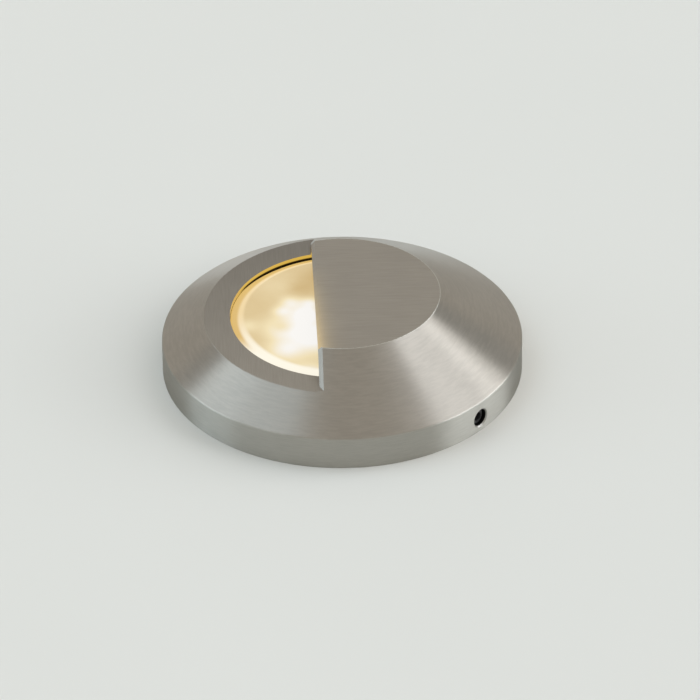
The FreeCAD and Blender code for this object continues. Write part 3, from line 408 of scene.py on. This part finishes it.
def glass_glow():
    """Glass over the emitters: a bright lumpy middle, a tan rest, a cream bevel and a yellow shoulder."""
    finish = new_finish("glass_lit")
    place, x, y = finish.place()[:3]
    radius = finish.math("SQRT", x * x + y * y)
    heat = GLOW_EVERYWHERE
    for centre_x, centre_y, reach, strength in GLOW_PATCHES:
        across, along = (x - centre_x) / reach, (y - centre_y) / reach
        heat = heat + finish.math("EXPONENT", (across * across + along * along) * -1) * strength
    heat = heat + (finish.noise(place, 0.35) - 0.5) * GLOW_MOTTLING
    colour = finish.mix(heat * 2, GLOW_TAN, GLOW_CREAM)
    colour = finish.mix(heat * 2 - 1, colour, GLOW_WHITE)
    bevel = finish.mix(finish.ramp(y, *BEVEL_BACK_Y), GLOW_BEVEL, GLOW_BEVEL_BACK)
    past_crown = finish.ramp(radius, *(GLASS_CROWN_RADIUS + part for part in CROWN_EDGE))
    colour = finish.mix(past_crown, colour, bevel)
    shoulder = finish.mix(finish.ramp(y, *SHOULDER_BACK_Y), GLOW_BEVEL, GLOW_SHOULDER)
    past_bevel = finish.ramp(radius, *(GLASS_BEVEL_RADIUS + part for part in BEVEL_EDGE))
    colour = finish.mix(past_bevel, colour, shoulder)
    return finish.end_with({"Base Color": GLASS_COLOUR, "Roughness": 0.2, "Specular IOR Level": 0.3,
                            "Emission Color": colour, "Emission Strength": GLOW_STRENGTH})


def arc(centre, radius, start, end, steps):
    """Points along an arc of a profile, angles in degrees."""
    turn = (end - start) / steps
    return [(centre[0] + radius * math.cos(math.radians(start + turn * step)),
             centre[1] + radius * math.sin(math.radians(start + turn * step))) for step in range(steps + 1)]


SPIN_STEPS = 192
MERGE_DISTANCE = 1e-7    # in metres
SHARP_ANGLE = 28


def spun(name, profile):
    """Closed piece from a profile of (radius, level) corners that starts and ends on the axis."""
    shape = bmesh.new()
    corners = [shape.verts.new((radius * MM, 0, level * MM)) for radius, level in profile]
    edges = [shape.edges.new(pair) for pair in zip(corners, corners[1:])]
    bmesh.ops.spin(shape, geom=corners + edges, cent=(0, 0, 0), axis=(0, 0, 1), angle=math.tau,
                   steps=SPIN_STEPS, use_merge=True)
    bmesh.ops.remove_doubles(shape, verts=shape.verts, dist=MERGE_DISTANCE)
    bmesh.ops.recalc_face_normals(shape, faces=shape.faces)
    return piece(name, shape)


def piece(name, shape):
    """Object of a finished bmesh, smooth but for its sharp edges."""
    for face in shape.faces:
        face.smooth = True
    for edge in shape.edges:
        edge.smooth = len(edge.link_faces) == 2 and edge.calc_face_angle(0) < math.radians(SHARP_ANGLE)
    mesh = bpy.data.meshes.new(name)
    shape.to_mesh(mesh)
    shape.free()
    made = bpy.data.objects.new(name, mesh)
    bpy.context.scene.collection.objects.link(made)
    return made


FAR_SIDE_Y = 20          # past it the shoulder keeps its rounding, which grows over the stretch before it
FAR_SIDE_STRETCH = 8


def square_shoulder(mesh):
    """Tightens the rounded shoulder everywhere but on the far side, where a gap shows behind it."""
    gain = GLASS_SHOULDER - GLASS_SQUARE_SHOULDER
    centre = GLASS_SHOULDER_RADIUS - GLASS_SHOULDER
    for vertex in mesh.vertices:
        x, y, z = vertex.co / MM
        radius = math.hypot(x, y)
        if radius > centre - 0.01 and z > GLASS_SHOULDER_LEVEL - 0.01:
            share = min(max((FAR_SIDE_Y - y) / FAR_SIDE_STRETCH, 0), 1) * gain
            turn = math.atan2(z - GLASS_SHOULDER_LEVEL, radius - centre)
            wide = radius + share * (1 - math.cos(turn))
            vertex.co = Vector((x * wide / radius, y * wide / radius, z + share * (1 - math.sin(turn)))) * MM


def make_glass():
    """Stepped glass with soft corners, in place of the plain one."""
    shoulder_centre = (GLASS_SHOULDER_RADIUS - GLASS_SHOULDER, GLASS_SHOULDER_LEVEL)
    profile = [(0, GLASS_CROWN_LEVEL), (GLASS_CROWN_RADIUS - GLASS_CORNER, GLASS_CROWN_LEVEL),
               (GLASS_CROWN_RADIUS, GLASS_CROWN_LEVEL - GLASS_CROWN_DROP),
               (GLASS_BEVEL_RADIUS - GLASS_BEVEL_SHORT, GLASS_BEVEL_LEVEL + GLASS_BEVEL_LIFT),
               *arc(shoulder_centre, GLASS_SHOULDER, 90, 0, 8),
               (GLASS_SHOULDER_RADIUS, GLASS_SHOULDER_FOOT),
               (GLASS_RADIUS, GLASS_SHOULDER_FOOT - GLASS_FOOT_STEP), (GLASS_RADIUS, GLASS_FLANGE_TOP),
               (GLASS_FLANGE_RADIUS - GLASS_CORNER, GLASS_FLANGE_TOP),
               (GLASS_FLANGE_RADIUS, GLASS_FLANGE_TOP - GLASS_CORNER),
               (GLASS_FLANGE_RADIUS, GLASS_BOTTOM + GLASS_CORNER),
               (GLASS_FLANGE_RADIUS - GLASS_CORNER, GLASS_BOTTOM), (0, GLASS_BOTTOM)]
    glass = spun("lit_glass", profile)
    square_shoulder(glass.data)
    glass.data.materials.append(glass_glow())
    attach(glass, "housing")
    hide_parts("lens")


# ---- finishes of the other nodes -----------------------------------------------------------------

GRIT_DEPTH = 0.01
GRIT_FINENESS = 12       # against the patches
RING_STRETCH = 0.03


def plain(name, dark, light, roughness, metallic=0.0, scale=0.5):
    """Moulded, cast or coated finish: two shades in soft patches, with a fine relief."""
    finish = new_finish(name)
    place = finish.place()[0]
    patches = finish.noise(place, scale, detail=3.0)
    grit = finish.noise(place, scale * GRIT_FINENESS)
    return finish.end_with({"Base Color": finish.mix(patches, (*dark, 1), (*light, 1)), "Metallic": metallic,
                            "Roughness": roughness + (grit - 0.5) * ROUGHNESS_SPREAD,
                            "Normal": finish.bump(grit, GRIT_DEPTH)})


def turned(name, dark, light, roughness, lines=5.0, relief=0.012):
    """Metal turned on a lathe: fine rings round the axis."""
    finish = new_finish(name)
    x, y, z = finish.place()[1:]
    radius = finish.math("SQRT", x * x + y * y)
    rings = finish.noise(finish.vector(x * RING_STRETCH, y * RING_STRETCH, (radius + z) * lines), 1.0)
    return finish.end_with({"Base Color": finish.mix(rings, (*dark, 1), (*light, 1)), "Metallic": 1.0,
                            "Roughness": roughness + (rings - 0.5) * 0.15, "Anisotropic": 0.6,
                            "Anisotropic Rotation": QUARTER_TURN, "Normal": finish.bump(rings, relief)})


def dress_nodes():
    """Every piece that keeps its CAD shape gets its own finish."""
    rubber = plain("silicone_black", (0.018, 0.018, 0.018), (0.035, 0.035, 0.036), 0.62, scale=0.8)
    fastener = plain("screw_steel", (0.5, 0.49, 0.47), (0.62, 0.61, 0.6), 0.3, metallic=1.0)
    brass = turned("brass_turned", (0.55, 0.38, 0.13), (0.7, 0.5, 0.2), 0.3)
    finishes = {
        "cover_set_screw_front": plain("black_oxide", (0.06, 0.06, 0.062), (0.1, 0.1, 0.104), 0.34,
                                       metallic=0.7),
        "lens_gasket": rubber, "grip_rings": rubber, "base_cap_o_ring": rubber, "gland_seal": rubber,
        "clamp_ring": turned("ring_anodised_black", (0.01, 0.01, 0.01), (0.03, 0.03, 0.03), 0.4),
        "clamp_ring_screws": fastener, "led_board_screws": fastener, "driver_board_screws": fastener,
        "terminal_screws": fastener,
        "diffuser": plain("film_opal", (0.84, 0.82, 0.76), (0.9, 0.89, 0.85), 0.5),
        "housing": turned("housing_anodised_grey", (0.14, 0.14, 0.15), (0.21, 0.21, 0.22), 0.38),
        "base_cap": turned("cap_anodised_grey", (0.14, 0.14, 0.15), (0.21, 0.21, 0.22), 0.38),
        "heat_sink": turned("aluminium_bare", (0.6, 0.6, 0.61), (0.78, 0.78, 0.79), 0.3),
        "thermal_pad": plain("thermal_silicone", (0.36, 0.4, 0.44), (0.44, 0.48, 0.52), 0.7),
        "led_board": plain("board_mask_white", (0.8, 0.8, 0.78), (0.87, 0.87, 0.85), 0.42),
        "led_emitters": plain("phosphor_yellow", (0.85, 0.6, 0.1), (0.95, 0.74, 0.2), 0.35),
        "reflector": plain("reflector_white", (0.84, 0.84, 0.82), (0.9, 0.9, 0.88), 0.25),
        "led_lead_positive": plain("lead_red", (0.45, 0.02, 0.015), (0.6, 0.04, 0.03), 0.4),
        "led_lead_negative": plain("lead_black", (0.02, 0.02, 0.02), (0.035, 0.035, 0.035), 0.4),
        "driver_standoffs": brass, "gland_washer": brass, "gland_nut": brass,
        "driver_board": plain("board_mask_green", (0.02, 0.18, 0.07), (0.04, 0.27, 0.12), 0.35),
        "filter_capacitor": plain("sleeve_dark_blue", (0.02, 0.025, 0.06), (0.04, 0.045, 0.09), 0.3),
        "inductor_core": plain("ferrite_grey", (0.06, 0.06, 0.06), (0.12, 0.12, 0.12), 0.6),
        "inductor_winding": turned("copper_winding", (0.45, 0.16, 0.05), (0.68, 0.3, 0.12), 0.32,
                                   lines=9.0, relief=0.05),
        "bridge_rectifier": plain("epoxy_black", (0.02, 0.02, 0.02), (0.04, 0.04, 0.04), 0.55),
        "terminal_block": plain("terminal_green", (0.02, 0.25, 0.1), (0.04, 0.35, 0.15), 0.35),
    }
    finishes["cover_set_screw_rear"] = finishes["cover_set_screw_front"]
    finishes["driver_chip"] = finishes["bridge_rectifier"]
    for name, finish in finishes.items():
        nodes[name].data.materials.clear()
        nodes[name].data.materials.append(finish)


# ---- floor and light -----------------------------------------------------------------------------

FLOOR_RADIUS = 3000
FLOOR_HOLE_RADIUS = 26
FLOOR_LEVEL = -0.05      # just under the rim, so that the two don't share a plane
FLOOR_SEGMENTS = 128
FLOOR_COLOUR = (0.76, 0.755, 0.735, 1)
FLOOR_SHADE = 0.97
FLOOR_CLOUD_SCALE = 0.01
AMBIENT = (0.63, 0.605, 0.545, 1)
BACKGROUND = (0.62, 0.62, 0.6, 1)
WARM_WHITE = (0.97, 1, 1.01)
COOL_WHITE = (0.88, 1, 1.06)
SOFT_EDGE = 2.5          # half the width of a light's blurred edge
# azimuth from +X, elevation, radius, radiance and tone
ROUND_LIGHTS = (
    (-2, 19, 27, 3.9, WARM_WHITE),       # low at the right
    (181, 19, 18, 2.6, COOL_WHITE),      # low at the left
    (91, 6, 11, 1.65, COOL_WHITE),       # lower still, behind
    (148, 31, 9, 0.4, COOL_WHITE),       # two dim patches that part the reflections at the back of the bevel
    (43, 28, 9, 0.4, COOL_WHITE))
# the same, then the azimuth and elevation that the two straight sides face, and half the width between them
LONG_LIGHTS = (
    (10.5, 48.6, 30, 1.53, WARM_WHITE, 56.7, -31.6, 16.5),       # high at the right
    (178, 53.5, 30, 1.33, COOL_WHITE, -44.6, 28.1, 24))          # high at the left


def make_floor():
    """Pale surface that the light is let into, with the hole for its barrel."""
    shape = bmesh.new()
    for radius in (FLOOR_HOLE_RADIUS, FLOOR_RADIUS):
        bmesh.ops.create_circle(shape, segments=FLOOR_SEGMENTS, radius=radius * MM, cap_ends=False)
    bmesh.ops.bridge_loops(shape, edges=list(shape.edges))
    bmesh.ops.translate(shape, verts=shape.verts, vec=(0, 0, FLOOR_LEVEL * MM))
    bmesh.ops.recalc_face_normals(shape, faces=shape.faces)
    for face in shape.faces:
        if face.normal.z < 0:
            face.normal_flip()
    floor = piece("floor", shape)
    finish = new_finish("floor_pale")
    cloud = finish.noise(finish.place()[0], FLOOR_CLOUD_SCALE)
    darker = (*(part * FLOOR_SHADE for part in FLOOR_COLOUR[:3]), 1)
    floor.data.materials.append(finish.end_with({
        "Base Color": finish.mix(cloud, FLOOR_COLOUR, darker), "Roughness": 0.9, "Specular IOR Level": 0.1}))


def pole(azimuth, elevation, way=1):
    """Unit vector that points to an azimuth and elevation, or away from them where the way is -1."""
    turn, rise = math.radians(azimuth), math.radians(elevation)
    towards = (math.cos(turn) * math.cos(rise), math.sin(turn) * math.cos(rise), math.sin(rise))
    return tuple(way * part for part in towards)


def beyond(finish, direction, towards, height):
    """1 where a direction rises more than a height in degrees towards a pole, else 0, with a soft edge."""
    rise = finish.signal("ShaderNodeVectorMath", {"operation": "DOT_PRODUCT"}, {0: direction, 1: towards},
                         "Value")
    start, end = (math.sin(math.radians(height + edge)) for edge in (-SOFT_EDGE, SOFT_EDGE))
    return finish.ramp(rise, start, end)


def make_light():
    """Soft lights at both sides and low at the back, in even surroundings. The view sees a plain backdrop."""
    world = bpy.data.worlds.new("studio")
    bpy.context.scene.world = world
    finish = Finish(world)
    direction = finish.signal("ShaderNodeTexCoord", {}, {}, "Generated")
    colour = AMBIENT
    for azimuth, elevation, reach, radiance, tone in ROUND_LIGHTS:
        inside = beyond(finish, direction, pole(azimuth, elevation), 90 - reach)
        colour = finish.mix(inside, colour, (*(radiance * part for part in tone), 1))
    for azimuth, elevation, reach, radiance, tone, side_azimuth, side_elevation, half_width in LONG_LIGHTS:
        inside = beyond(finish, direction, pole(azimuth, elevation), 90 - reach)
        for way in (1, -1):
            side = pole(side_azimuth, side_elevation, way)
            inside = inside * (1 - beyond(finish, direction, side, half_width))
        colour = finish.mix(inside, colour, (*(radiance * part for part in tone), 1))
    camera_ray = finish.signal("ShaderNodeLightPath", {}, {}, "Is Camera Ray")
    light = finish.signal("ShaderNodeBackground", {}, {"Color": finish.mix(camera_ray, colour, BACKGROUND),
                                                      "Strength": 1.0})
    finish.node("ShaderNodeOutputWorld", {}, {"Surface": light})


# ---- making --------------------------------------------------------------------------------------

make_camera()
dress_cover()
make_glass()
dress_nodes()
make_floor()
make_light()
bpy.context.scene.view_settings.view_transform = "Standard"
